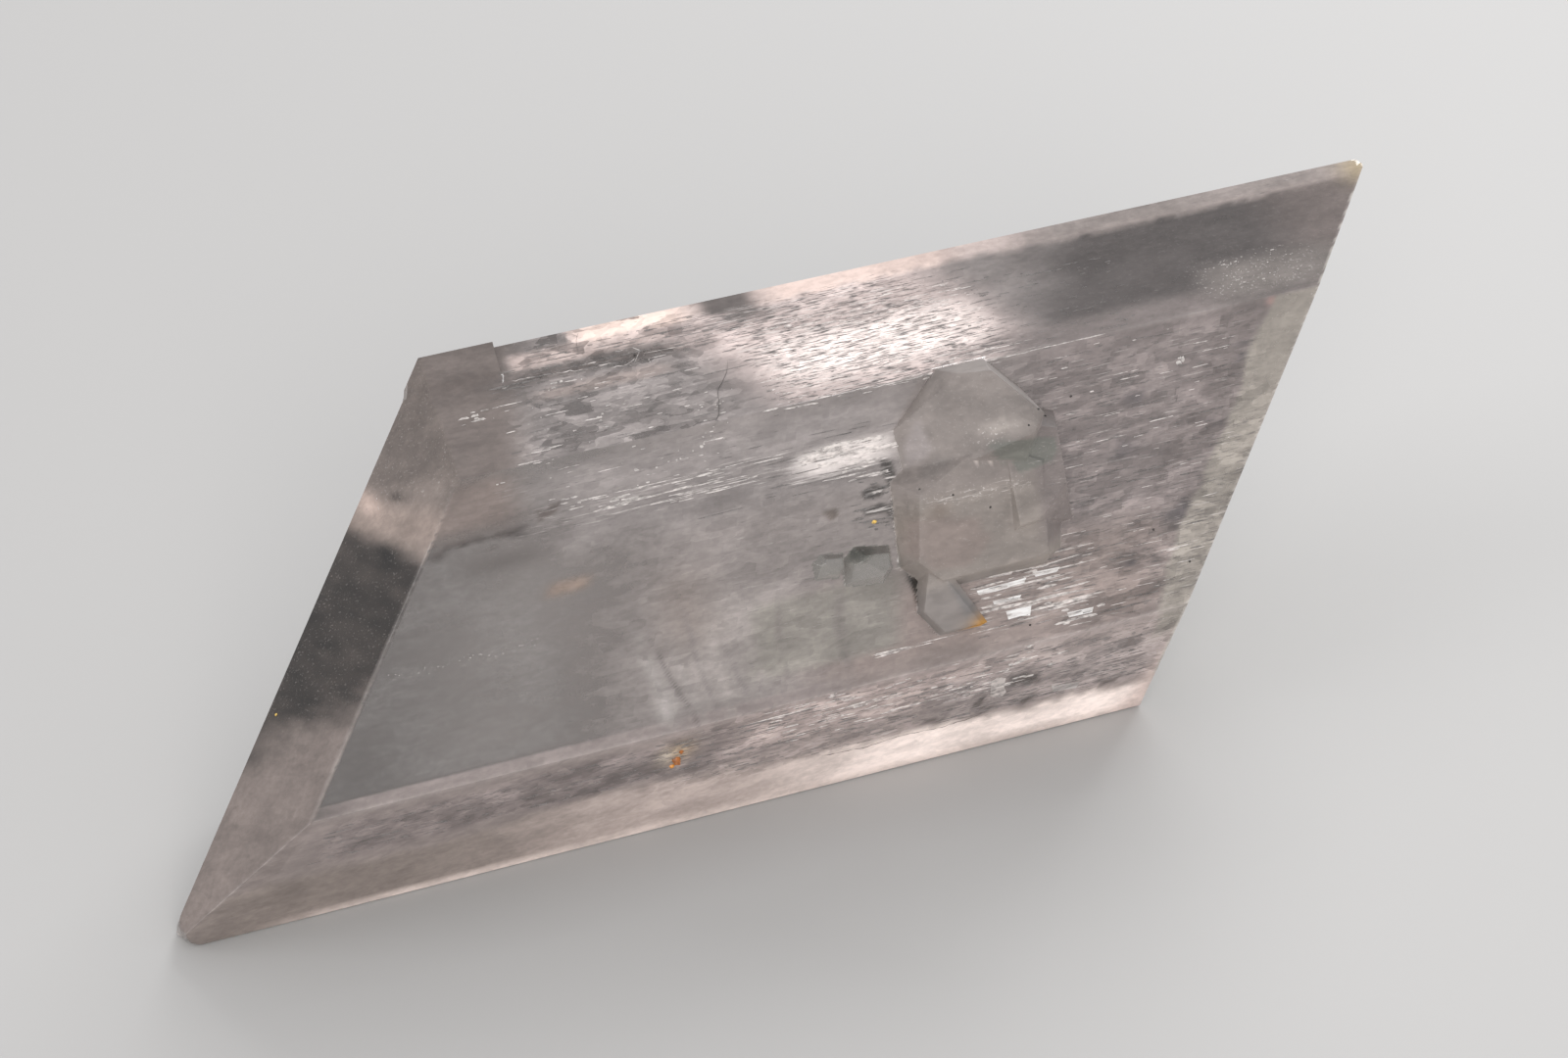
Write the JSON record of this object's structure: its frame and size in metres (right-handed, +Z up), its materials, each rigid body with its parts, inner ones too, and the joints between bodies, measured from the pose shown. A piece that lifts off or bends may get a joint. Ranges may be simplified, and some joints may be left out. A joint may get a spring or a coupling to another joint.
{
  "type": "gypsum crystal",
  "caption": "Thick bevelled rhomb-shaped plate of clear to milky selenite with a clump of small crystals grown on its front face, resting on one long bevel.",
  "frame": {"origin": "bottom centre of the crystal's box, on the surface that it rests on", "axes": "+X along the long edges, +Z up, and the broad front face with the small crystals looks towards -Y and up"},
  "size_m": [0.2248, 0.0574, 0.07],
  "materials": {
    "selenite": "vitreous to pearly, clear with milky veils"
  },
  "bodies": {
    "root": {"selenite_crystal": "selenite"}
  },
  "joints": []
}
